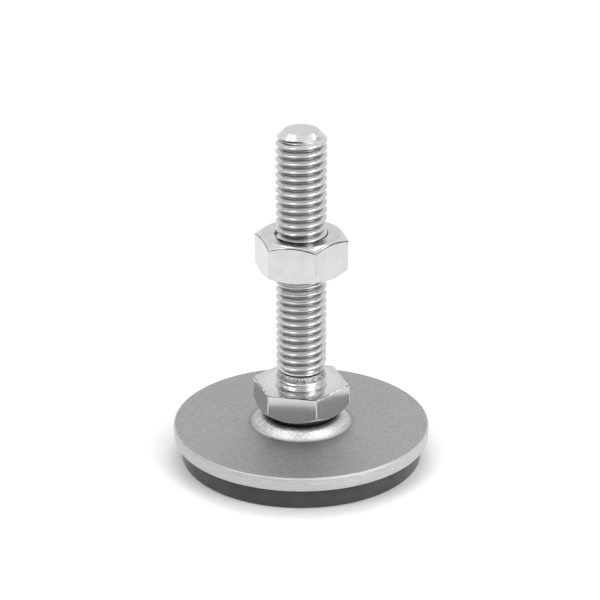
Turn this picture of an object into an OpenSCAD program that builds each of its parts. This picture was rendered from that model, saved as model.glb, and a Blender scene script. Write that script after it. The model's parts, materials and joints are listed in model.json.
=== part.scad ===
// Furniture levelling foot: a threaded stud with a forged hexagon, standing on a
// round steel foot through a dished joint, with a rubber pad below and a lock nut.
// Millimetres, +Z up, origin at the centre of the pad's underside.

/* [Foot] */
// Diameter of the steel foot plate
plate_d = 40.4; // [36:0.2:60]
// Thickness of the foot plate
plate_t = 2.2; // [1.6:0.1:3]
// Height of the raised boss above the plate
boss_h = 1.5; // [1.3:0.1:1.6]
// Radius of the boss at its crest
boss_crest_r = 6; // [5.9:0.1:6.2]
// Diameter of the hole through the boss
boss_hole_d = 7.2; // [7.2:0.1:7.6]

/* [Pad] */
// Thickness of the rubber pad
pad_t = 3.5; // [3.5:0.1:6]
// Diameter of the pad where it meets the plate
pad_top_d = 38.4; // [34:0.2:58]
// Diameter of the pad on the floor
pad_bottom_d = 38.1; // [32:0.1:57]
// Thickness of the pad's floor below the joint
pad_floor_t = 0.8; // [0.6:0.1:0.9]
// Number of grip grooves in the underside
groove_count = 3; // [0:1:4]

/* [Stud] */
// Thread diameter over the crests
thread_d = 7.95; // [7.8:0.01:7.98]
// Thread pitch
pitch = 1.25; // [1:0.25:1.25]
// Length of the stud above its hexagon
stud_reach = 41.6; // [30:0.1:90]
// Width of the stud's hexagon across its flats
stud_hex_af = 13.4; // [13:0.1:14]
// Height of the hexagon's top face above the plate
hex_top_h = 6.9; // [6.9:0.1:7.4]
// Diameter of the plain collar where it meets the hexagon
collar_d = 8.2; // [8:0.05:9]

/* [Joint] */
// Radius of the spherical underside of the hexagon
dome_r = 10; // [9.8:0.1:10.2]
// Height of the ball centre above the hexagon's top face
ball_above_hex = 3.2; // [3.2:0.1:3.5]
// Thickness of the glide ring
glide_t = 0.25; // [0.2:0.05:0.3]
// Radial gap of each spherical sliding fit
slide_gap = 0.05; // [0.03:0.01:0.08]
// Diameter of the tail that passes through the plate
tail_d = 3.5; // [3:0.1:3.6]

/* [Lock nut] */
// Width of the lock nut across its flats
nut_af = 12.85; // [12.7:0.05:13]
// Height of the lock nut
nut_h = 6.15; // [4:0.05:6.5]
// Height of the lock nut's underside above the stud's hexagon
nut_rest_h = 18.85; // [18:0.05:27]

/* [Hidden] */

// Heights up the axis
plate_bottom_z = pad_t;
plate_top_z = pad_t + plate_t;
hex_top_z = plate_top_z + hex_top_h;
stud_top_z = hex_top_z + stud_reach;
ball_z = hex_top_z + ball_above_hex;
nut_z = hex_top_z + nut_rest_h;

// Concentric spheres of the joint, from the dome outwards
glide_inner_r = dome_r + slide_gap;
glide_outer_r = glide_inner_r + glide_t;
seat_r = glide_outer_r + slide_gap;
underseat_r = dome_r + 2.9;
washer_inner_r = underseat_r + slide_gap;
washer_t = 0.8;
washer_outer_r = washer_inner_r + washer_t;

// Foot plate details
edge_round = 0.35;
boss_round = 1.25;
boss_fillet = 0.85;
boss_slope = 52;
boss_centre_z = plate_top_z + boss_h - boss_round;
fillet_centre_z = plate_top_z + boss_fillet;
flank_top_r = boss_crest_r + boss_round * sin(boss_slope);
flank_top_z = boss_centre_z + boss_round * cos(boss_slope);
flank_foot_z = fillet_centre_z - boss_fillet * cos(boss_slope);
flank_foot_r = flank_top_r + (flank_top_z - flank_foot_z) / tan(boss_slope);
fillet_centre_r = flank_foot_r + boss_fillet * sin(boss_slope);
underseat_edge_r = 7.45;

// Glide ring and washer, measured as radii from the axis
glide_hole_r = boss_hole_d / 2 - 0.2;
glide_edge_r = 5;
washer_d = 11.2;
washer_hole_d = tail_d + 0.14;

// Pad details
recess_r = 8.2;
pad_edge = 0.45;
groove_w = 1;
groove_depth = 0.4;
groove_first_r = 8;
groove_step = 3.4;

// Thread profile: 60 degree flanks, flat crests and roots
crest_r = thread_d / 2;
root_r = crest_r - 0.596 * pitch;
crest_w = pitch / 8;
flank_w = (crest_r - root_r) * tan(30);
end_flat_r = 2.7;
end_chamfer = crest_r - end_flat_r;
collar_h = 1;
collar_draft = 0.1;
neck_h = 2.35;
thread_bottom_z = hex_top_z + neck_h;
ring_count = floor((stud_top_z - 0.5 - thread_bottom_z) / pitch);
gauge_bottom_z = nut_z + nut_h + pitch;

// Tail and its retaining ring
tail_r = tail_d / 2;
ring_t = 0.6;
ring_top_z = ball_z - sqrt(pow(washer_outer_r, 2) - pow(washer_hole_d / 2, 2)) - 0.04;
ring_groove_z = ring_top_z - ring_t - 0.04;
ring_groove_r = 1.3;
ring_d = 5.8;
ring_gap_w = 2;
tail_end_z = ring_groove_z - 0.45;

// Lock nut details
nut_bore_r = crest_r + 0.06;
nut_mouth_r = nut_bore_r + 0.17;
nut_face_r = 0.475 * nut_af;

eps = 0.01;

// Centres a child on the point that everything in the joint turns about
module at_ball_centre() {
    translate([0, 0, ball_z]) children();
}

// Hexagonal bar with two corners on the X axis, measured across its flats
module hex_bar(af, h) {
    cylinder(d = af * 2 / sqrt(3), h = h, $fn = 6);
}

// Shell between two spheres about the ball centre, cut to a ring from hole_r to edge_r
module dished_ring(inner_r, outer_r, hole_r, edge_r) {
    intersection() {
        difference() {
            at_ball_centre() sphere(r = outer_r, $fn = 128);
            at_ball_centre() sphere(r = inner_r, $fn = 128);
        }
        difference() {
            cylinder(r = edge_r, h = ball_z - 4, $fn = 96);
            translate([0, 0, -1]) cylinder(r = hole_r, h = ball_z, $fn = 96);
        }
    }
}

// Half section of the plate with its rounded edge and its raised boss
module plate_profile() {
    plate_r = plate_d / 2;
    translate([0, plate_bottom_z]) square([plate_r - edge_round, plate_t]);
    translate([0, plate_bottom_z]) square([plate_r, plate_t - edge_round]);
    translate([plate_r - edge_round, plate_top_z - edge_round]) circle(r = edge_round, $fn = 48);
    translate([0, boss_centre_z]) square([boss_crest_r, boss_round]);
    translate([boss_crest_r, boss_centre_z]) circle(r = boss_round, $fn = 96);
    difference() {
        polygon([
            [0, plate_top_z - eps],
            [fillet_centre_r, plate_top_z - eps],
            [fillet_centre_r, plate_top_z],
            [flank_foot_r, flank_foot_z],
            [flank_top_r, flank_top_z],
            [boss_crest_r, boss_centre_z],
            [0, boss_centre_z]
        ]);
        translate([fillet_centre_r, fillet_centre_z]) circle(r = boss_fillet, $fn = 96);
    }
}

// Stamped steel foot: the dome's seat above, the washer's spherical track below
module foot_plate() {
    color([0.62, 0.62, 0.61])
    difference() {
        rotate_extrude($fn = 180) plate_profile();
        at_ball_centre() sphere(r = seat_r, $fn = 128);
        translate([0, 0, pad_t - 1]) cylinder(d = boss_hole_d, h = plate_t + boss_h + 2, $fn = 96);
        difference() {
            translate([0, 0, pad_t - 1])
                cylinder(r = underseat_edge_r, h = plate_t + boss_h, $fn = 96);
            at_ball_centre() sphere(r = underseat_r, $fn = 128);
        }
    }
}

// Moulded pad: tapered side, grip grooves, and a blind recess that clears the joint
module rubber_pad() {
    color([0.29, 0.31, 0.30])
    difference() {
        rotate_extrude($fn = 180) polygon([
            [0, 0],
            [pad_bottom_d / 2 - pad_edge, 0],
            [pad_bottom_d / 2, pad_edge],
            [pad_top_d / 2, pad_t],
            [0, pad_t]
        ]);
        translate([0, 0, pad_floor_t]) cylinder(r = recess_r, h = pad_t, $fn = 96);
        for (i = [0 : 1 : groove_count - 1]) {
            translate([0, 0, -1])
            difference() {
                cylinder(r = groove_first_r + i * groove_step + groove_w, h = 1 + groove_depth, $fn = 96);
                translate([0, 0, -1])
                    cylinder(r = groove_first_r + i * groove_step, h = 3 + groove_depth, $fn = 96);
            }
        }
    }
}

// Dark plastic liner between the dome and its seat
module glide_ring() {
    color([0.13, 0.13, 0.13])
    dished_ring(glide_inner_r, glide_outer_r, glide_hole_r, glide_edge_r);
}

// Dished washer that slides under the plate and keeps the stud in it
module retaining_washer() {
    color([0.70, 0.70, 0.69])
    dished_ring(washer_inner_r, washer_outer_r, washer_hole_d / 2, washer_d / 2);
}

// Thread crest number i: pointed, or flat over the fixing end of the stud
function crest_points(i) =
    let (z = thread_bottom_z + (i + 0.5) * pitch,
         half_crest = z > gauge_bottom_z ? crest_w / 2 : 0,
         half_base = flank_w + crest_w / 2)
    half_crest > 0
        ? [[root_r, z - half_base], [crest_r, z - half_crest],
           [crest_r, z + half_crest], [root_r, z + half_base]]
        : [[root_r, z - half_base], [crest_r, z], [root_r, z + half_base]];

// Half section of the threaded shank with its collar, run into the hexagon
module shank_profile() {
    intersection() {
        polygon(concat(
            [
                [0, hex_top_z - 1],
                [collar_d / 2, hex_top_z - 1],
                [collar_d / 2, hex_top_z],
                [collar_d / 2 - collar_draft, hex_top_z + collar_h],
                [root_r, thread_bottom_z]
            ],
            [for (i = [0 : ring_count - 1]) each crest_points(i)],
            [
                [root_r, stud_top_z],
                [0, stud_top_z]
            ]
        ));
        polygon([
            [0, 0],
            [thread_d, 0],
            [thread_d, stud_top_z - end_chamfer - thread_d + crest_r],
            [end_flat_r, stud_top_z],
            [0, stud_top_z]
        ]);
    }
}

// Half section of the tail: plain neck, ring groove and rounded-off end
module tail_profile() {
    polygon([
        [0, tail_end_z],
        [tail_r - 0.2, tail_end_z],
        [tail_r, tail_end_z + 0.2],
        [tail_r, ring_groove_z],
        [ring_groove_r, ring_groove_z],
        [ring_groove_r, ring_top_z],
        [tail_r, ring_top_z],
        [tail_r, ball_z - dome_r + 1],
        [0, ball_z - dome_r + 1]
    ]);
}

// One-piece stud: thread, collar, hexagon with a spherical underside, and tail
module levelling_stud() {
    color([0.78, 0.78, 0.77])
    union() {
        rotate_extrude($fn = 96) shank_profile();
        intersection() {
            translate([0, 0, ball_z - dome_r - 1])
                hex_bar(stud_hex_af, hex_top_z - ball_z + dome_r + 1);
            at_ball_centre() sphere(r = dome_r, $fn = 128);
        }
        rotate_extrude($fn = 96) tail_profile();
    }
}

// Open spring ring in the tail's groove, under the washer
module retaining_ring() {
    color([0.45, 0.45, 0.45])
    translate([0, 0, ring_top_z - ring_t - 0.02])
    difference() {
        cylinder(d = ring_d, h = ring_t, $fn = 96);
        translate([0, 0, -1]) cylinder(r = ring_groove_r + 0.02, h = ring_t + 2, $fn = 96);
        translate([0, -ring_gap_w / 2, -1]) cube([ring_d, ring_gap_w, ring_t + 2]);
    }
}

// Half section that rounds a hexagon's corners off at 30 degrees on both faces
module nut_turning_profile() {
    corner_r = nut_af / sqrt(3) + eps;
    corner_h = (corner_r - nut_face_r) * tan(30);
    polygon([
        [0, 0],
        [nut_face_r, 0],
        [corner_r, corner_h],
        [corner_r, nut_h - corner_h],
        [nut_face_r, nut_h],
        [0, nut_h]
    ]);
}

// Hexagon lock nut, its bore clear of the thread crests and countersunk at both ends
module lock_nut() {
    mouth_depth = nut_mouth_r - nut_bore_r;
    color([0.86, 0.86, 0.85])
    translate([0, 0, nut_z])
    difference() {
        intersection() {
            hex_bar(nut_af, nut_h);
            rotate_extrude($fn = 96) nut_turning_profile();
        }
        translate([0, 0, -1]) cylinder(r = nut_bore_r, h = nut_h + 2, $fn = 96);
        rotate_extrude($fn = 96) polygon([
            [0, -eps],
            [nut_mouth_r + eps, -eps],
            [nut_bore_r, mouth_depth],
            [0, mouth_depth]
        ]);
        rotate_extrude($fn = 96) polygon([
            [0, nut_h + eps],
            [nut_mouth_r + eps, nut_h + eps],
            [nut_bore_r, nut_h - mouth_depth],
            [0, nut_h - mouth_depth]
        ]);
    }
}

foot_plate();
rubber_pad();
glide_ring();
retaining_washer();
levelling_stud();
retaining_ring();
lock_nut();
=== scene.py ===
"""Looks of a furniture levelling foot: bright rolled stud and polished nut on a shot-blasted steel foot.

Every CAD node is replaced by a finer turned or screw-cut mesh, built here at the sizes of the CAD frame.
Profiles are in millimetres, and are scaled to metres as their points become vertices.
"""
import json
import math

import bmesh
import bpy
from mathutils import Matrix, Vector


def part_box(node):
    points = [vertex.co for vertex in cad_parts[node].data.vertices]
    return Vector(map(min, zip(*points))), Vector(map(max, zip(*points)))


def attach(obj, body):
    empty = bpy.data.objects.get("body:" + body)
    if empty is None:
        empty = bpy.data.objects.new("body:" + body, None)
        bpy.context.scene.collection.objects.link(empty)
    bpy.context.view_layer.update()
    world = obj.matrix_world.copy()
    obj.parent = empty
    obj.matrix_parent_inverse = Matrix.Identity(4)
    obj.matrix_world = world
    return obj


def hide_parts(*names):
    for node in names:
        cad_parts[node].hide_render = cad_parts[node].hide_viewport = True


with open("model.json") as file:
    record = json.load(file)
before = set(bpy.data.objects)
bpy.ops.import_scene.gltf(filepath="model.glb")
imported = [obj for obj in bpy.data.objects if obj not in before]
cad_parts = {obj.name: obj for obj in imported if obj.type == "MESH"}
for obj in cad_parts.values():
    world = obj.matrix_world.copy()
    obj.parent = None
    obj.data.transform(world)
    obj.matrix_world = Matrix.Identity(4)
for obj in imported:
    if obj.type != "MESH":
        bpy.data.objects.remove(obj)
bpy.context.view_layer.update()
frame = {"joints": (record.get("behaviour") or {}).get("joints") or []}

MM = 0.001
COS_30 = math.cos(math.radians(30))
TAN_30 = math.tan(math.radians(30))

# ---------------------------------------------------------------- sizes, in millimetres and degrees


def box_mm(node):
    """Lowest and highest corner of a CAD node, in millimetres."""
    low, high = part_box(node)
    return low / MM, high / MM


def rounded_corner_r(af, corner_round):
    """Distance from the axis to the tip of a hexagon's rounded corner."""
    return (af / 2 - corner_round) / COS_30 + corner_round


plate_low, plate_high = box_mm("foot_plate")
pad_high = box_mm("rubber_pad")[1]
stud_low, stud_high = box_mm("levelling_stud")
nut_low, nut_high = box_mm("lock_nut")
ring_low, ring_high = box_mm("retaining_ring")
washer_edge_r = box_mm("retaining_washer")[1].x
liner_edge_r = box_mm("glide_ring")[1].x
ball_z = next(j for j in frame["joints"] if j["name"] == "tilt_x")["pos_m"][2] / MM

# Foot plate
PLATE_T = 2.2
PLATE_EDGE = 0.35
PLATE_LOWER_EDGE = 0.2
PLATE_MIDDLE_R = 14
BOSS_CREST_R = 6.0
BOSS_ROUND = 1.25
BOSS_FILLET = 0.85
BOSS_SLOPE = 52
BOSS_LIP_ANGLE = 98
BOSS_LIP_R = 5.74
BOSS_HOLE_R = 3.6
SEAT_R = 10.35
UNDERSEAT_R = 12.9
UNDERSEAT_EDGE_R = 7.45
plate_r = plate_high.x
plate_bottom_z = plate_low.z
plate_top_z = plate_bottom_z + PLATE_T

# Joint: spheres about the ball centre, a pair being the inner and outer one; holes are from the axis
DOME_R = 10.0
LINER_RADII = (10.05, 10.3)
WASHER_RADII = (12.95, 13.75)
LINER_HOLE_R = 3.4
WASHER_HOLE_R = 1.82

# Rubber pad
PAD_BOTTOM_R = 19.05
PAD_EDGE = 0.45
PAD_RECESS_R = 8.2
PAD_FLOOR_T = 0.8
# Points of the pad's soft upper edge, measured from its corner
PAD_LIP = ((-0.03, -0.25), (0, -0.1), (-0.12, 0))
GROOVE_FIRST_R = 8.0
GROOVE_STEP = 3.4
GROOVE_W = 1.0
GROOVE_DEPTH = 0.4
GROOVE_COUNT = 3

# Thread
PITCH = 1.25
CREST_R = 3.975
CREST_ROUND = 0.2
ROOT_ROUND = 0.15
THREAD_PHASE = 0.8
THREAD_RUNOUT = 0.9 * PITCH

# Stud
END_FLAT_R = 2.7
END_BLEND = 0.12
NECK_R = 3.5
NECK_H = 2.35
COLLAR_R = 4.1
RIDGE_ROUND = 0.55
RIDGE_H = 0.62
RIDGE_TURN = (58, -38)
COVE = 0.1
COVE_CENTRE_R = COLLAR_R - 0.07
# Points of the groove, from the thread's lower end, and of the flare, from the hexagon's top face
NECK_GROOVE = ((0, 0), (-0.12, -0.06), (-0.2, -0.14), (-0.2, -0.24), (-0.08, -0.34))
NECK_FLARE = ((0.06, 1.9), (0.22, 1.6), (0.34, 1.3))
HEX_TOP_ABOVE_PLATE = 6.9
HEX_BEVEL = 0.1
HEX_CORNER_ROUND = 0.14
HEX_DRAFT = 0.09
HEX_SIDE_H = 3.4
TAIL_R = 1.75
TAIL_CHAMFER = 0.2
hex_top_z = plate_top_z + HEX_TOP_ABOVE_PLATE
thread_bottom_z = hex_top_z + NECK_H
stud_top_z = stud_high.z
stud_hex_af = 2 * stud_high.y
hex_corner_r = rounded_corner_r(stud_hex_af, HEX_CORNER_ROUND)

# Lock nut
NUT_THREAD_GAP = 0.09
NUT_MOUTH_R = 4.2
NUT_CORNER_ROUND = 0.16
nut_af = 2 * nut_high.y
nut_face_r = 0.475 * nut_af
nut_corner_r = rounded_corner_r(nut_af, NUT_CORNER_ROUND)

# Retaining ring
RING_INNER_R = 1.32
RING_GAP_W = 2.0
RING_EDGE = 0.06
RING_PLAY = 0.02

# ---------------------------------------------------------------- mesh helpers

SHARP_ANGLE = math.radians(35)
WELD = 0.0004 * MM
ROUND_COLUMNS = [math.radians(1.5 * i) for i in range(240)]


def hexagon_columns():
    """Angles round the axis, in radians, closer together at the six corners of a hexagon."""
    angles = {float(a) for a in range(0, 360, 3)}
    for corner in range(0, 360, 60):
        for offset in (0.31, 0.62, 0.93, 1.6, 2.3):
            angles.add((corner + offset) % 360)
            angles.add((corner - offset) % 360)
    return [math.radians(a) for a in sorted(angles)]


def arc(centre_r, centre_z, radius, start, end, count):
    """Points of an arc in the half section, from start to end in degrees."""
    points = []
    for i in range(count + 1):
        a = math.radians(start + (end - start) * i / count)
        points.append((centre_r + radius * math.cos(a), centre_z + radius * math.sin(a)))
    return points


def sphere_z(radius, r):
    """Height of the lower half of a sphere about the ball centre, at r from the axis."""
    return ball_z - math.sqrt(radius * radius - r * r)


def sphere_arc(radius, start_r, end_r, count=10):
    """Points along a sphere about the ball centre, between two distances from the axis."""
    points = []
    for i in range(count + 1):
        r = start_r + (end_r - start_r) * i / count
        points.append((r, sphere_z(radius, r)))
    return points


def hexagon_r(af, angle, corner_round):
    """Radius of a hexagon with rounded corners, at an angle in radians; a corner lies at 0."""
    sector = math.radians(60)
    off_corner = abs((angle + sector / 2) % sector - sector / 2)
    centre = (af / 2 - corner_round) / COS_30
    tangent = math.atan2(corner_round * 0.5, centre + corner_round * COS_30)
    if off_corner >= tangent:
        return af / 2 / math.cos(sector / 2 - off_corner)
    side = centre * math.sin(off_corner)
    return centre * math.cos(off_corner) + math.sqrt(corner_round ** 2 - side ** 2)


class Skin:
    """Collects rows of (r, z) points, one point for each column, into one closed mesh."""

    def __init__(self, columns):
        self.columns = columns
        self.vertices = []
        self.faces = []

    def add_row(self, row):
        """Adds one point for each column, and gives the number of the first."""
        first = len(self.vertices)
        for angle, (r, z) in zip(self.columns, row):
            self.vertices.append((r * math.cos(angle) * MM, r * math.sin(angle) * MM, z * MM))
        return first

    def turned(self, rows, loop=False):
        """Rows all the way round the axis; a row is one (r, z) or a function of the angle."""
        count = len(self.columns)
        starts = []
        for row in rows:
            starts.append(self.add_row([row(a) for a in self.columns] if callable(row) else [row] * count))
        if loop:
            starts.append(starts[0])
        for low, high in zip(starts, starts[1:]):
            for j in range(count):
                k = (j + 1) % count
                self.faces.append((low + j, low + k, high + k, high + j))

    def part_turned(self, profile):
        """A closed profile turned from the first column to the last, with flat ends."""
        last = len(self.columns) - 1
        starts = [self.add_row([point] * (last + 1)) for point in profile]
        for low, high in zip(starts, starts[1:] + starts[:1]):
            for j in range(last):
                self.faces.append((low + j, low + j + 1, high + j + 1, high + j))
        self.faces.append(tuple(starts))
        self.faces.append(tuple(start + last for start in starts))

    def screw_cut(self, profile, radius_at, low_z, high_z):
        """A right-hand thread: profile holds (share of a pitch, radius), radius_at trims it by height."""
        first_turn = math.floor((low_z - THREAD_PHASE) / PITCH) - 2
        last_turn = math.ceil((high_z - THREAD_PHASE) / PITCH) + 1
        starts = []
        for turn in range(first_turn, last_turn + 1):
            for share, radius in profile:
                row = []
                for angle in self.columns:
                    z = THREAD_PHASE + PITCH * (turn + share + angle / (2 * math.pi))
                    z = min(max(z, low_z), high_z)
                    row.append((radius_at(radius, z), z))
                starts.append(self.add_row(row))
        last = len(self.columns) - 1
        per_turn = len(profile)
        for m in range(len(starts) - per_turn - 1):
            low, high = starts[m], starts[m + 1]
            for j in range(last):
                self.faces.append((low + j, low + j + 1, high + j + 1, high + j))
            self.faces.append((low + last, starts[m + per_turn], starts[m + per_turn + 1], high + last))


def make_piece(name, skin, material, body, slot, *nodes):
    """Welds a skin into an object that rides on a body and replaces CAD nodes."""
    mesh = bpy.data.meshes.new(name)
    mesh.from_pydata(skin.vertices, [], skin.faces)
    work = bmesh.new()
    work.from_mesh(mesh)
    bmesh.ops.remove_doubles(work, verts=work.verts, dist=WELD)
    bmesh.ops.dissolve_degenerate(work, edges=work.edges, dist=WELD)
    loose = [v for v in work.verts if not v.link_faces]
    bmesh.ops.delete(work, geom=loose, context="VERTS")
    bmesh.ops.recalc_face_normals(work, faces=work.faces)
    work.to_mesh(mesh)
    work.free()
    mesh.shade_smooth()
    mesh.set_sharp_from_angle(angle=SHARP_ANGLE)
    mesh.materials.append(material)
    piece = bpy.data.objects.new(name, mesh)
    bpy.context.scene.collection.objects.link(piece)
    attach(piece, body)
    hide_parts(*nodes)


# ---------------------------------------------------------------- node helpers


class Nodes:
    """Short names for the node chains that the finishes and the surround share."""

    def __init__(self, tree):
        self.tree = tree

    def node(self, kind, **settings):
        made = self.tree.nodes.new(kind)
        for key, value in settings.items():
            setattr(made, key, value)
        return made

    def join(self, value, socket):
        """Links a socket, or sets a plain number, vector or (r, g, b)."""
        if isinstance(value, (int, float)):
            socket.default_value = value
        elif isinstance(value, tuple):
            socket.default_value = (*value, 1) if socket.type == "RGBA" else value
        else:
            self.tree.links.new(value, socket)

    def span(self, value, low, high, to_low, to_high, kind="LINEAR"):
        """Maps value from low..high to to_low..to_high, clamped."""
        mapped = self.node("ShaderNodeMapRange", interpolation_type=kind)
        for name, number in zip(("From Min", "From Max", "To Min", "To Max"), (low, high, to_low, to_high)):
            mapped.inputs[name].default_value = number
        self.join(value, mapped.inputs["Value"])
        return mapped.outputs["Result"]

    def above(self, value, start, end):
        """0 up to start, and 1 from end."""
        return self.span(value, start, end, 0, 1)

    def below(self, value, start, end):
        """1 up to start, and 0 from end."""
        return self.span(value, start, end, 1, 0)

    def maths(self, operation, first, second=0):
        """One Math node; each operand is a number or a socket."""
        made = self.node("ShaderNodeMath", operation=operation)
        self.join(first, made.inputs[0])
        self.join(second, made.inputs[1])
        return made.outputs["Value"]

    def times(self, first, *others):
        """Product of masks and numbers."""
        for other in others:
            first = self.maths("MULTIPLY", first, other)
        return first

    def between(self, value, start, full, fade, end):
        """1 from full to fade, and 0 up to start and from end."""
        return self.times(self.above(value, start, full), self.below(value, fade, end))

    def vector(self, operation, first, second=(0, 0, 0)):
        """One Vector Math node; each operand is three numbers or a socket."""
        made = self.node("ShaderNodeVectorMath", operation=operation)
        self.join(first, made.inputs[0])
        self.join(second, made.inputs[1])
        return made

    def blend(self, share, first, second, kind="MIX"):
        """A colour between two colours; each is an (r, g, b) or a colour socket."""
        mix = self.node("ShaderNodeMix", data_type="RGBA", blend_type=kind)
        self.join(share, mix.inputs["Factor"])
        first_in, second_in = [i for i in mix.inputs if i.type == "RGBA"]
        self.join(first, first_in)
        self.join(second, second_in)
        return next(o for o in mix.outputs if o.type == "RGBA")


class Finish(Nodes):
    """A Principled material whose patterns are laid out in the object's own coordinates."""

    def __init__(self, name, metallic, roughness):
        self.material = bpy.data.materials.new(name)
        self.material.use_nodes = True
        super().__init__(self.material.node_tree)
        self.shader = self.tree.nodes["Principled BSDF"]
        self.shader.inputs["Metallic"].default_value = metallic
        self.shader.inputs["Roughness"].default_value = roughness
        self.place = self.node("ShaderNodeTexCoord").outputs["Object"]
        self.normal = None

    def stretched(self, scale):
        """Object coordinates scaled along X, Y and Z."""
        mapping = self.node("ShaderNodeMapping")
        mapping.inputs["Scale"].default_value = scale
        self.join(self.place, mapping.inputs["Vector"])
        return mapping.outputs["Vector"]

    def noise(self, size_mm, detail=3.0, roughness=0.55, stretch=(1, 1, 1)):
        """Noise whose largest features are about size_mm across."""
        noise = self.node("ShaderNodeTexNoise")
        noise.inputs["Scale"].default_value = 1 / (size_mm * MM)
        noise.inputs["Detail"].default_value = detail
        noise.inputs["Roughness"].default_value = roughness
        self.join(self.stretched(stretch), noise.inputs["Vector"])
        return noise.outputs["Fac"]

    def bump(self, height, depth_mm):
        """Adds a height field to the normal."""
        bump = self.node("ShaderNodeBump")
        bump.inputs["Strength"].default_value = 1
        bump.inputs["Distance"].default_value = depth_mm * MM
        self.join(height, bump.inputs["Height"])
        if self.normal is not None:
            self.join(self.normal, bump.inputs["Normal"])
        self.normal = bump.outputs["Normal"]

    def height_mm(self):
        """Height above the floor at rest, in millimetres."""
        split = self.node("ShaderNodeSeparateXYZ")
        self.join(self.place, split.inputs["Vector"])
        return self.maths("MULTIPLY", split.outputs["Z"], 1 / MM)

    def radius_mm(self):
        """Distance from the axis, in millimetres."""
        length = self.vector("LENGTH", self.stretched((1, 1, 0)))
        return self.maths("MULTIPLY", length.outputs["Value"], 1 / MM)

    def done(self, colour, roughness=None):
        """Joins the chains to the shader, and gives the material."""
        self.join(colour, self.shader.inputs["Base Color"])
        if roughness is not None:
            self.join(roughness, self.shader.inputs["Roughness"])
        if self.normal is not None:
            self.join(self.normal, self.shader.inputs["Normal"])
        return self.material


# ---------------------------------------------------------------- materials


def blasted_steel():
    """Foot plate: shot-blasted and matt, with a burnished, brighter boss and a sheared rim. The boss's top by
    the lip is painted darker and its flank lighter, as painted shade and painted light, and the fillet at its
    foot is painted darker, as painted shade.
    """
    finish = Finish("blasted_steel", 1.0, 0.5)
    grain = finish.noise(0.28, detail=4, roughness=0.75)
    cloud = finish.noise(9, detail=2)
    shear = finish.noise(0.5, detail=3, stretch=(0.25, 0.25, 3))
    radius = finish.radius_mm()
    boss_foot = (7.3, 8.1)
    fillet_shade = (7.7, 8.0, 8.1, 8.7)
    on_rim = finish.above(radius, plate_r - 0.3, plate_r - 0.08)
    on_boss = finish.below(radius, *boss_foot)
    fillet_painted_shade = finish.between(radius, *fillet_shade)
    flank_painted_light = finish.above(radius, BOSS_CREST_R + 0.3, BOSS_CREST_R + 1.3)

    matt = finish.blend(finish.above(grain, 0.35, 0.65), (0.24, 0.24, 0.235), (0.41, 0.41, 0.405))
    matt = finish.blend(finish.span(cloud, 0.35, 0.65, 0, 0.3), matt, (0.31, 0.31, 0.31))
    # Painted shade: the fillet at the boss's foot is darkened in colour
    matt = finish.blend(finish.times(fillet_painted_shade, 0.35), matt, (0.15, 0.15, 0.15))

    # Burnished boss: its top by the lip is painted darker and its flank lighter, as painted shade and painted
    # light
    burnished_with_painted_light = finish.blend(flank_painted_light, (0.38, 0.38, 0.375), (0.67, 0.67, 0.66))
    burnished_with_painted_light = finish.blend(finish.span(grain, 0.5, 0.62, 0, 0.7), burnished_with_painted_light, (0.88, 0.88, 0.87))
    burnished_with_painted_light = finish.blend(finish.span(grain, 0.38, 0.5, 0.5, 0), burnished_with_painted_light, (0.28, 0.28, 0.275))
    burnished_with_painted_light = finish.blend(finish.span(cloud, 0.45, 0.7, 0, 0.3), burnished_with_painted_light, (0.30, 0.30, 0.295))

    rim = finish.blend(finish.above(shear, 0.35, 0.65), (0.51, 0.51, 0.50), (0.61, 0.61, 0.60))
    colour = finish.blend(on_boss, matt, burnished_with_painted_light)
    colour = finish.blend(on_rim, colour, rim)
    rough = finish.span(grain, 0.3, 0.7, 0.46, 0.60)
    rough = finish.maths("SUBTRACT", rough, finish.times(on_boss, 0.06))
    finish.bump(grain, 0.045)
    finish.bump(shear, 0.006)
    return finish.done(colour, rough)


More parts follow.
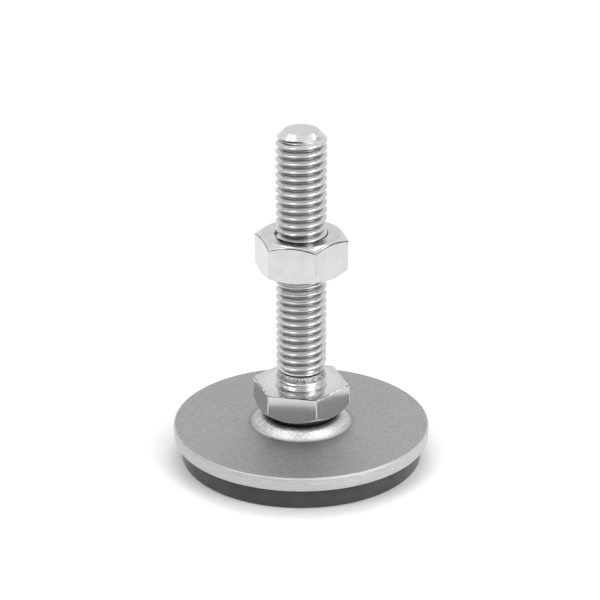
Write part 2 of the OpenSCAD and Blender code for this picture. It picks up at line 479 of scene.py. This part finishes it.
def rolled_steel():
    """Stud: bright rolled thread with painted shade in its roots, scaly neck, a painted shadow in the groove
    under the thread, drawn hexagon sides, a lighter painted end chamfer and top face, painted highlights and
    dark painted reflections on the hexagon's corners and top edge, and a rougher dome painted darker as
    painted shade.
    """
    finish = Finish("rolled_steel", 1.0, 0.2)
    fine = finish.noise(0.18, detail=3)
    scale = finish.noise(0.25, detail=4, roughness=0.8, stretch=(1, 1, 0.5))
    broad = finish.noise(2.5, detail=2)
    glint_breaks = finish.above(finish.noise(2.6, detail=5, roughness=0.7), 0.46, 0.54)
    drawn = finish.above(finish.noise(0.3, detail=4, stretch=(0.15, 0.15, 2)), 0.35, 0.65)
    height = finish.height_mm()
    radius = finish.radius_mm()

    # Shank: the scaly neck, the groove under the thread with its painted shadow, the thread's roots with
    # their painted shade, and the chamfered end painted lighter as painted highlight
    end_cone = finish.maths("ADD", radius, height)
    cone_sum = stud_top_z + END_FLAT_R
    scaly = finish.between(
        height, hex_top_z + 0.95, hex_top_z + 1.15, thread_bottom_z - 0.4, thread_bottom_z - 0.2
    )
    # Painted shadow: the groove under the thread's last turn is painted near black
    groove = finish.between(
        height, thread_bottom_z - 0.36, thread_bottom_z - 0.3, thread_bottom_z - 0.1, thread_bottom_z - 0.02
    )
    # Painted shade: the thread's roots are darkened in colour
    root_painted_shade = finish.times(
        finish.above(height, thread_bottom_z, thread_bottom_z + 0.5),
        finish.below(radius, CREST_R - 0.62, CREST_R - 0.35),
        finish.below(end_cone, cone_sum - 0.4, cone_sum - 0.15),
        finish.below(height, stud_top_z - 0.1, stud_top_z - 0.03),
    )
    # Painted highlight: the end chamfer and the top of the thread are painted lighter
    end_painted_highlight = finish.times(
        finish.above(height, stud_top_z - 1.4, stud_top_z - 1.3),
        finish.span(height, stud_top_z - 0.05, stud_top_z - 0.02, 0.7, 0),
    )

    # Hexagon: its sides, top face (painted lighter, as painted light), dome (painted darker, as painted
    # shade), corners, which lean out by the draft, and top edge; the corners and top edge carry painted
    # highlights and dark painted reflections
    on_faces = finish.below(height, hex_top_z - 0.06, hex_top_z - 0.02)
    under_neck = finish.below(height, hex_top_z - 0.02, hex_top_z + 0.1)
    flat_r = stud_hex_af / 2
    # Painted light: the top face is painted lighter, standing in for the bright reflections it shows
    top_face_painted_light = finish.times(
        finish.below(radius, flat_r - 1.5, flat_r - 0.1),
        finish.below(height, hex_top_z + 0.1, hex_top_z + 0.2),
    )
    # Painted shade: the dome under the hexagon is painted darker
    dome_painted_shade = finish.times(
        finish.below(radius, flat_r - 0.4, flat_r - 0.15),
        finish.below(height, hex_top_z - 1, hex_top_z - 0.9),
    )
    lean = finish.times(finish.maths("SUBTRACT", height, hex_top_z), HEX_DRAFT / HEX_SIDE_H)
    # Painted highlight: the rounded corners are painted near white
    corner = finish.above(finish.maths("ADD", radius, lean), hex_corner_r - 0.04, hex_corner_r - 0.02)
    corner = finish.times(corner, on_faces)
    # Painted highlight and painted reflection: broken white and black lines along the top edge
    top_edge = finish.times(
        finish.above(radius, flat_r - 0.12, flat_r - 0.08),
        finish.between(height, hex_top_z - 0.12, hex_top_z - 0.09, hex_top_z - 0.012, hex_top_z - 0.004),
    )

    bright = finish.blend(broad, (0.57, 0.57, 0.565), (0.65, 0.65, 0.645))
    flecked = finish.blend(finish.above(scale, 0.4, 0.65), (0.14, 0.14, 0.135), (0.66, 0.66, 0.65))
    edge_painted_glint_and_shade = finish.blend(glint_breaks, (0.05, 0.05, 0.05), (0.92, 0.92, 0.91))
    corner_painted_glint = finish.blend(glint_breaks, (0.80, 0.80, 0.79), (0.95, 0.95, 0.94))
    # Painted shade in the groove, the roots and on the dome; painted light on the end chamfer and top face;
    # painted highlights and dark reflections on the top edge and corners
    colour = bright
    for mask, shade in (
        (scaly, flecked),
        (groove, (0.06, 0.06, 0.06)),
        (root_painted_shade, (0.30, 0.30, 0.295)),
        (end_painted_highlight, (0.72, 0.72, 0.71)),
        (top_face_painted_light, (0.70, 0.70, 0.69)),
        (dome_painted_shade, (0.30, 0.30, 0.295)),
        (top_edge, edge_painted_glint_and_shade),
        (corner, corner_painted_glint),
    ):
        colour = finish.blend(mask, colour, shade)
    streaks = finish.blend(drawn, (0.86, 0.86, 0.86), (1.0, 1.0, 1.0))
    colour = finish.blend(finish.times(on_faces, 0.8), colour, streaks, "MULTIPLY")

    rough = finish.span(fine, 0.3, 0.7, 0.14, 0.22)
    for mask, change in ((under_neck, 0.03), (corner, 0.5), (on_faces, -0.07), (scaly, 0.25), (dome_painted_shade, 0.3)):
        rough = finish.maths("ADD", rough, finish.times(mask, change))
    finish.bump(fine, 0.003)
    finish.bump(finish.times(scale, scaly), 0.05)
    return finish.done(colour, rough)


def polished_steel():
    """Lock nut: polished, faintly cloudy, with a painted dark reflection line where the upper chamfer cuts
    the flats, chamfers painted lighter as painted highlight, and painted shade in its mouth.
    """
    finish = Finish("polished_steel", 1.0, 0.12)
    cloud = finish.noise(2.2, detail=4)
    hair = finish.noise(0.25, detail=2, stretch=(1, 1, 0.15))
    specks = finish.span(finish.noise(0.35, detail=2), 0.52, 0.6, 0.0, 0.5)
    broken = finish.span(finish.noise(1.6, detail=3), 0.4, 0.6, 0.6, 1)
    height = finish.height_mm()
    radius = finish.radius_mm()

    # Distance below either chamfer, measured along the axis
    middle = (nut_low.z + nut_high.z) / 2
    from_middle = finish.maths("ABSOLUTE", finish.maths("SUBTRACT", height, middle))
    drop = finish.times(finish.maths("SUBTRACT", radius, nut_face_r), TAN_30)
    below_chamfer = finish.maths("SUBTRACT", nut_high.z - middle, finish.maths("ADD", from_middle, drop))
    # Painted reflection: a dark line along the upper chamfer's arcs
    chamfer_line_painted_reflection = finish.times(
        finish.between(below_chamfer, 0.0, 0.04, 0.17, 0.25),
        finish.above(radius, nut_face_r, nut_face_r + 0.1),
        finish.above(height, middle, middle + 0.5),
        broken,
    )
    # Painted highlight: the chamfers are painted lighter than the flats
    chamfer_painted_highlight = finish.times(
        finish.below(below_chamfer, -0.02, 0.02), finish.above(radius, nut_face_r, nut_face_r + 0.05)
    )
    corner = finish.times(finish.above(radius, nut_corner_r - 0.05, nut_corner_r - 0.02), specks)
    # Painted shade: the countersunk mouth and the bore are darkened in colour
    mouth_painted_shade = finish.below(radius, NUT_MOUTH_R - 0.14, NUT_MOUTH_R - 0.04)

    colour = finish.blend(finish.above(cloud, 0.3, 0.7), (0.55, 0.55, 0.545), (0.63, 0.63, 0.62))
    for mask, shade in (
        (chamfer_painted_highlight, (0.76, 0.76, 0.75)),
        (chamfer_line_painted_reflection, (0.07, 0.07, 0.07)),
        (corner, (0.35, 0.35, 0.345)),
        (mouth_painted_shade, (0.16, 0.16, 0.16)),
    ):
        colour = finish.blend(mask, colour, shade)
    finish.bump(hair, 0.001)
    return finish.done(colour, finish.span(cloud, 0.3, 0.7, 0.10, 0.18))


def satin_steel(name, dark, light):
    """Washer and spring ring, inside the foot: satin steel."""
    finish = Finish(name, 1.0, 0.35)
    grain = finish.noise(0.4, detail=3)
    finish.bump(grain, 0.004)
    return finish.done(finish.blend(grain, dark, light), finish.span(grain, 0.3, 0.7, 0.3, 0.42))


def moulded_rubber():
    """Pad: dark grey-green moulded rubber with a fine matt skin and a dusty bloom."""
    finish = Finish("moulded_rubber", 0.0, 0.7)
    finish.shader.inputs["Sheen Weight"].default_value = 0.35
    finish.shader.inputs["Sheen Roughness"].default_value = 0.4
    skin = finish.noise(0.2, detail=3)
    bloom = finish.above(finish.noise(4, detail=3), 0.35, 0.65)
    colour = finish.blend(bloom, (0.036, 0.041, 0.038), (0.054, 0.060, 0.056))
    finish.bump(skin, 0.012)
    return finish.done(colour, finish.span(skin, 0.3, 0.7, 0.6, 0.78))


def moulded_liner():
    """Glide ring: black moulded plastic."""
    finish = Finish("moulded_liner", 0.0, 0.5)
    skin = finish.noise(0.3, detail=2)
    finish.bump(skin, 0.004)
    colour = finish.blend(skin, (0.012, 0.012, 0.012), (0.022, 0.022, 0.021))
    return finish.done(colour, finish.span(skin, 0.3, 0.7, 0.42, 0.6))


def studio_floor():
    """Matt white sweep."""
    finish = Finish("studio_floor", 0.0, 0.9)
    tone = finish.noise(60, detail=2)
    return finish.done(finish.blend(tone, (0.81, 0.81, 0.81), (0.83, 0.83, 0.83)))


# ---------------------------------------------------------------- pieces


def foot_plate():
    """Plate with its rounded rim, raised boss, spherical seat above and track below."""
    boss_z = plate_high.z - BOSS_ROUND
    fillet_z = plate_top_z + BOSS_FILLET
    slope = math.radians(BOSS_SLOPE)
    rounds = BOSS_ROUND + BOSS_FILLET
    flank_drop = boss_z - fillet_z + rounds * math.cos(slope)
    fillet_r = BOSS_CREST_R + rounds * math.sin(slope) + flank_drop / math.tan(slope)
    # Distance from a flat face's edge to the row that keeps its shading flat
    hold = 0.2
    wide_hold = 0.3

    profile = sphere_arc(UNDERSEAT_R, BOSS_HOLE_R, UNDERSEAT_EDGE_R)
    profile += [(UNDERSEAT_EDGE_R, plate_bottom_z), (UNDERSEAT_EDGE_R + hold, plate_bottom_z)]
    profile += [(plate_r - PLATE_LOWER_EDGE - wide_hold, plate_bottom_z)]
    profile += arc(plate_r - PLATE_LOWER_EDGE, plate_bottom_z + PLATE_LOWER_EDGE, PLATE_LOWER_EDGE, -90, 0, 4)
    profile += arc(plate_r - PLATE_EDGE, plate_top_z - PLATE_EDGE, PLATE_EDGE, 0, 90, 6)
    profile += [(plate_r - PLATE_EDGE - hold, plate_top_z), (PLATE_MIDDLE_R, plate_top_z)]
    profile += [(fillet_r + wide_hold, plate_top_z)]
    profile += arc(fillet_r, fillet_z, BOSS_FILLET, -90, -90 - BOSS_SLOPE, 8)
    profile += arc(BOSS_CREST_R, boss_z, BOSS_ROUND, 90 - BOSS_SLOPE, BOSS_LIP_ANGLE, 14)
    profile += sphere_arc(SEAT_R, BOSS_LIP_R, BOSS_HOLE_R)
    skin = Skin(ROUND_COLUMNS)
    skin.turned(profile, loop=True)
    return skin


def rubber_pad():
    """Pad: tapered side with soft edges, grip grooves below, blind recess above."""
    top_r = pad_high.x
    top_z = pad_high.z
    profile = [(0, 0)]
    for i in range(GROOVE_COUNT):
        start = GROOVE_FIRST_R + i * GROOVE_STEP
        profile += [(start, 0), (start, GROOVE_DEPTH)]
        profile += [(start + GROOVE_W, GROOVE_DEPTH), (start + GROOVE_W, 0)]
    profile += [(PAD_BOTTOM_R - PAD_EDGE - 0.1, 0)]
    profile += arc(PAD_BOTTOM_R - PAD_EDGE, PAD_EDGE, PAD_EDGE, -90, 0, 5)
    profile += [(top_r + out, top_z + up) for out, up in PAD_LIP]
    profile += [(PAD_RECESS_R, top_z), (PAD_RECESS_R, PAD_FLOOR_T), (0, PAD_FLOOR_T)]
    skin = Skin(ROUND_COLUMNS)
    skin.turned(profile)
    return skin


def dished_shell(radii, hole_r, edge_r):
    """A shell between two spheres about the ball centre."""
    inner, outer = radii
    skin = Skin(hexagon_columns())
    skin.turned(sphere_arc(outer, hole_r, edge_r) + sphere_arc(inner, edge_r, hole_r), loop=True)
    return skin


def thread_profile():
    """One pitch of a 60 degree thread as (share of a pitch, radius), from root to root."""
    flank = math.radians(60)
    rounds = CREST_ROUND + ROOT_ROUND
    straight_w = PITCH / 2 - rounds * math.sin(flank)
    depth = rounds * (1 - math.cos(flank)) + straight_w / TAN_30

    def root(middle, degrees):
        a = math.radians(degrees)
        return middle + ROOT_ROUND * math.sin(a), CREST_R - depth + ROOT_ROUND * (1 - math.cos(a))

    def crest(degrees):
        a = math.radians(degrees)
        return PITCH / 2 + CREST_ROUND * math.sin(a), CREST_R - CREST_ROUND * (1 - math.cos(a))

    points = [root(0, degrees) for degrees in (0, 20, 40, 60)]
    points += [crest(degrees) for degrees in (-60, -40, -20, 0, 20, 40, 60)]
    points += [root(PITCH, degrees) for degrees in (-60, -40, -20)]
    return [(z / PITCH, r) for z, r in points]


def smooth_step(value, low, high):
    """Eases from 0 at low to 1 at high."""
    t = min(max((value - low) / (high - low), 0), 1)
    return t * t * (3 - 2 * t)


def smooth_min(a, b, width):
    """The smaller of a and b, rounded over where they are within width of each other."""
    h = max(width - abs(a - b), 0) / width
    return min(a, b) - h * h * width / 4


def stud_radius(radius, z):
    """Trims the thread to the chamfered end, and lets it run out above the neck."""
    runout = smooth_step(z, thread_bottom_z, thread_bottom_z + THREAD_RUNOUT)
    radius = NECK_R + (radius - NECK_R) * runout
    return smooth_min(radius, END_FLAT_R + (stud_top_z - z), END_BLEND)


def stud_hexagon_row(inset, z):
    """A level row round the stud's hexagon; a negative inset stands proud."""
    return lambda angle: (hexagon_r(stud_hex_af, angle, HEX_CORNER_ROUND) - inset, z)


def stud_dome_row(share, inset=0.0, lift=0.0):
    """A row on the dome, at a share of the way from the tail to the hexagon's outline."""
    def row(angle):
        r = hexagon_r(stud_hex_af, angle, HEX_CORNER_ROUND) + HEX_DRAFT - inset
        r = TAIL_R + (r - TAIL_R) * share
        return r, sphere_z(DOME_R, r) + lift
    return row


def neck_rows():
    """Groove under the thread, flare, and the collar's rounded ridge with a cove at its foot."""
    rows = [(NECK_R + out, thread_bottom_z + up) for out, up in NECK_GROOVE]
    rows += [(NECK_R + out, hex_top_z + up) for out, up in NECK_FLARE]
    rows += arc(COLLAR_R - RIDGE_ROUND, hex_top_z + RIDGE_H, RIDGE_ROUND, *RIDGE_TURN, 10)
    rows += [(COVE_CENTRE_R - COVE, hex_top_z + COVE + 0.02)]
    rows += arc(COVE_CENTRE_R, hex_top_z + COVE, COVE, 180, 270, 4)
    return rows


def tail_rows():
    """Tail from the dome down, with the ring's groove and a chamfered end."""
    root_z = sphere_z(DOME_R, TAIL_R)
    tail_z = stud_low.z
    groove_r = RING_INNER_R - RING_PLAY
    groove_top = ring_high.z + RING_PLAY
    groove_bottom = ring_low.z - RING_PLAY
    rows = [(TAIL_R + 0.05, root_z), (TAIL_R, root_z - 0.06)]
    rows += [(TAIL_R, groove_top), (groove_r, groove_top), (groove_r, groove_bottom), (TAIL_R, groove_bottom)]
    rows += [(TAIL_R, tail_z + TAIL_CHAMFER), (TAIL_R - TAIL_CHAMFER, tail_z), (0, tail_z)]
    return rows


def levelling_stud():
    """Stud from its end flat down to the tail: thread, neck, hexagon, dome, tail."""
    skin = Skin(hexagon_columns())
    skin.turned([(0, stud_top_z), (END_FLAT_R - 0.3, stud_top_z), (END_FLAT_R, stud_top_z)])
    skin.screw_cut(thread_profile(), stud_radius, thread_bottom_z, stud_top_z)
    rows = neck_rows()
    # Two round rows keep the top face flat; then the bevel's rows, in bevel widths inwards and down
    rows += [(COLLAR_R + 0.5, hex_top_z), (5.6, hex_top_z)]
    for inset, drop in ((3, 0), (1, 0), (0.3, 0.3), (0, 1)):
        rows += [stud_hexagon_row(inset * HEX_BEVEL, hex_top_z - drop * HEX_BEVEL)]
    rows += [stud_hexagon_row(-0.06 * HEX_DRAFT, hex_top_z - 3 * HEX_BEVEL)]
    rows += [stud_dome_row(1, lift=0.2), stud_dome_row(1, lift=0.06), stud_dome_row(1, inset=0.06)]
    rows += [stud_dome_row(tenths / 10) for tenths in range(9, 0, -1)]
    skin.turned(rows + tail_rows())
    return skin


def nut_bore_radius(radius, z):
    """Widens the nut's thread to its countersunk mouths."""
    depth = min(nut_high.z - z, z - nut_low.z)
    return max(radius + NUT_THREAD_GAP, NUT_MOUTH_R - depth)


def nut_flat_row(inset, height, from_top):
    """A row on the nut's flats; height is measured from the chamfer's edge towards the middle."""
    def row(angle):
        r = hexagon_r(nut_af, angle, NUT_CORNER_ROUND) - inset
        cut = (r - nut_face_r) * TAN_30 + height
        return r, (nut_high.z - cut if from_top else nut_low.z + cut)
    return row


def lock_nut():
    """Hexagon nut: turned chamfers that cut the flats in arcs, and a real thread inside."""
    face_hold = 0.1
    flat_rows = ((0.07, 0), (0.0, 0.05), (0.0, 0.3))
    rows = [(NUT_MOUTH_R, nut_low.z), (nut_face_r - face_hold, nut_low.z), (nut_face_r, nut_low.z)]
    rows += [nut_flat_row(inset, height, False) for inset, height in flat_rows]
    rows += [nut_flat_row(inset, height, True) for inset, height in reversed(flat_rows)]
    rows += [(nut_face_r, nut_high.z), (nut_face_r - face_hold, nut_high.z), (NUT_MOUTH_R, nut_high.z)]
    skin = Skin(hexagon_columns())
    skin.turned(rows)
    skin.screw_cut(thread_profile(), nut_bore_radius, nut_low.z, nut_high.z)
    return skin


def retaining_ring():
    """Open spring ring with rounded edges; its gap faces +X."""
    outer_r = ring_high.y
    gap = math.asin(RING_GAP_W / 2 / outer_r)
    steps = 96
    low, high = ring_low.z + RING_EDGE, ring_high.z - RING_EDGE
    profile = arc(outer_r - RING_EDGE, low, RING_EDGE, -90, 0, 3)
    profile += arc(outer_r - RING_EDGE, high, RING_EDGE, 0, 90, 3)
    profile += arc(RING_INNER_R + RING_EDGE, high, RING_EDGE, 90, 180, 3)
    profile += arc(RING_INNER_R + RING_EDGE, low, RING_EDGE, 180, 270, 3)
    skin = Skin([gap + (2 * math.pi - 2 * gap) * i / steps for i in range(steps + 1)])
    skin.part_turned(profile)
    return skin


def build_pieces():
    liner = dished_shell(LINER_RADII, LINER_HOLE_R, liner_edge_r)
    washer = dished_shell(WASHER_RADII, WASHER_HOLE_R, washer_edge_r)
    washer_steel = satin_steel("washer_steel", (0.50, 0.50, 0.49), (0.62, 0.62, 0.61))
    spring_steel = satin_steel("spring_steel", (0.22, 0.22, 0.22), (0.34, 0.34, 0.33))
    for node, skin, material, body, slot in (
        ("foot_plate", foot_plate(), blasted_steel(), "foot", "foot_steel"),
        ("rubber_pad", rubber_pad(), moulded_rubber(), "foot", "pad_rubber"),
        ("glide_ring", liner, moulded_liner(), "liner", "liner_plastic"),
        ("retaining_washer", washer, washer_steel, "retainer", "washer_steel"),
        ("levelling_stud", levelling_stud(), rolled_steel(), "stud", "stud_steel"),
        ("lock_nut", lock_nut(), polished_steel(), "nut", "nut_steel"),
        ("retaining_ring", retaining_ring(), spring_steel, "stud", "ring_steel"),
    ):
        make_piece(node + "_looks", skin, material, body, slot, node)


# ---------------------------------------------------------------- studio

# Camera: angles round and above the orbit's middle, distances and the point aimed at in millimetres
CAMERA_AZIMUTH = math.radians(12.21)
CAMERA_ELEVATION = math.radians(22.78)
CAMERA_DISTANCE = 341.6
CAMERA_ORBIT_Z = 27.3
CAMERA_AIM = (-0.19, -0.04, 26.39)
CAMERA_LENS = 132.2
CAMERA_SENSOR = 36

# Surround: compass sectors are (middle, half width) in degrees, 0 at -Y and 90 at +X, and tops are sines
SKY_BRIGHT = (0.95, 0.95, 0.95)
SKY_DARK = (0.10, 0.10, 0.10)
SKY_DARK_TOP = 0.42
SKY_DARK_TOP_BLUR = 0.08
SKY_DARK_LEFT = (-33, 65)
SKY_DARK_RIGHT = (97, 27)
SKY_DARK_RIGHT_SHARE = 0.4
SKY_BLUR = 5

# Area lights, aimed at the middle of the foot: azimuth and elevation, width and height, watts
LIGHT_DISTANCE = 900
LIGHT_AIM_Z = 25
LIGHTS = {
    "key_left": (-40, 48, 380, 450, 1.8),
    "key_right": (64, 36, 420, 680, 3.1),
    "side_left": (-82, 46, 130, 200, 0.3),
    "side_right": (109, 45, 130, 200, 0.3),
    "back_top": (185, 66, 500, 400, 1.9),
}

FLOOR_HALF_M = 3.0


def towards(azimuth, elevation, distance):
    """A point that far from the origin, given in millimetres and returned in metres.

    Azimuth 0 is on -Y and a quarter turn is on +X.
    """
    flat = math.cos(elevation) * distance * MM
    return Vector((math.sin(azimuth) * flat, -math.cos(azimuth) * flat, math.sin(elevation) * distance * MM))


def add_aimed(name, data, location, aim):
    """An object that looks from its location at a point."""
    aimed = bpy.data.objects.new(name, data)
    bpy.context.scene.collection.objects.link(aimed)
    aimed.location = location
    aimed.rotation_euler = (aim - aimed.location).to_track_quat("-Z", "Y").to_euler()
    return aimed


def add_camera():
    data = bpy.data.cameras.new("camera")
    data.lens = CAMERA_LENS
    data.sensor_width = CAMERA_SENSOR
    middle = Vector((0, 0, CAMERA_ORBIT_Z * MM))
    location = middle + towards(CAMERA_AZIMUTH, CAMERA_ELEVATION, CAMERA_DISTANCE)
    bpy.context.scene.camera = add_aimed("camera", data, location, Vector(CAMERA_AIM) * MM)


def add_floor():
    mesh = bpy.data.meshes.new("floor")
    corners = [(x * FLOOR_HALF_M, y * FLOOR_HALF_M, 0) for x, y in ((-1, -1), (1, -1), (1, 1), (-1, 1))]
    mesh.from_pydata(corners, [], [(0, 1, 2, 3)])
    mesh.materials.append(studio_floor())
    floor = bpy.data.objects.new("floor", mesh)
    bpy.context.scene.collection.objects.link(floor)


def add_lights():
    aim = Vector((0, 0, LIGHT_AIM_Z * MM))
    for name, (azimuth, elevation, width, height, power) in LIGHTS.items():
        data = bpy.data.lights.new(name, "AREA")
        data.shape = "RECTANGLE"
        data.size = width * MM
        data.size_y = height * MM
        data.energy = power
        away = towards(math.radians(azimuth), math.radians(elevation), LIGHT_DISTANCE)
        add_aimed(name, data, aim + away, aim)


def add_sky():
    """Bright surround with dark sectors low down at the left and right, as black cards in a studio.

    The cards are there for the reflections, so the camera itself sees the bright surround everywhere.
    """
    world = bpy.data.worlds.new("studio")
    bpy.context.scene.world = world
    world.use_nodes = True
    sky = Nodes(world.node_tree)
    place = sky.node("ShaderNodeTexCoord").outputs["Generated"]
    flat = sky.vector("MULTIPLY", place, (1, 1, 0)).outputs["Vector"]
    compass = sky.vector("NORMALIZE", flat).outputs["Vector"]

    def sector(middle, half_width):
        """1 inside a sector of the compass, 0 outside; angles in degrees."""
        angle = math.radians(middle)
        along = sky.vector("DOT_PRODUCT", compass, (math.sin(angle), -math.cos(angle), 0)).outputs["Value"]
        outer = math.cos(math.radians(half_width + SKY_BLUR))
        inner = math.cos(math.radians(half_width - SKY_BLUR))
        return sky.span(along, outer, inner, 0, 1, "SMOOTHSTEP")

    split = sky.node("ShaderNodeSeparateXYZ")
    sky.join(place, split.inputs["Vector"])
    lowest, highest = SKY_DARK_TOP - SKY_DARK_TOP_BLUR, SKY_DARK_TOP + SKY_DARK_TOP_BLUR
    low_down = sky.span(split.outputs["Z"], lowest, highest, 1, 0, "SMOOTHSTEP")
    right = sky.times(sector(*SKY_DARK_RIGHT), SKY_DARK_RIGHT_SHARE)
    sides = sky.maths("MAXIMUM", sector(*SKY_DARK_LEFT), right)
    unseen = sky.maths("SUBTRACT", 1, sky.node("ShaderNodeLightPath").outputs["Is Camera Ray"])
    surround = sky.blend(sky.times(low_down, sides, unseen), SKY_BRIGHT, SKY_DARK)
    sky.join(surround, world.node_tree.nodes["Background"].inputs["Color"])


def build_studio():
    bpy.context.scene.view_settings.view_transform = "Standard"
    add_camera()
    add_floor()
    add_sky()
    add_lights()


build_pieces()
build_studio()
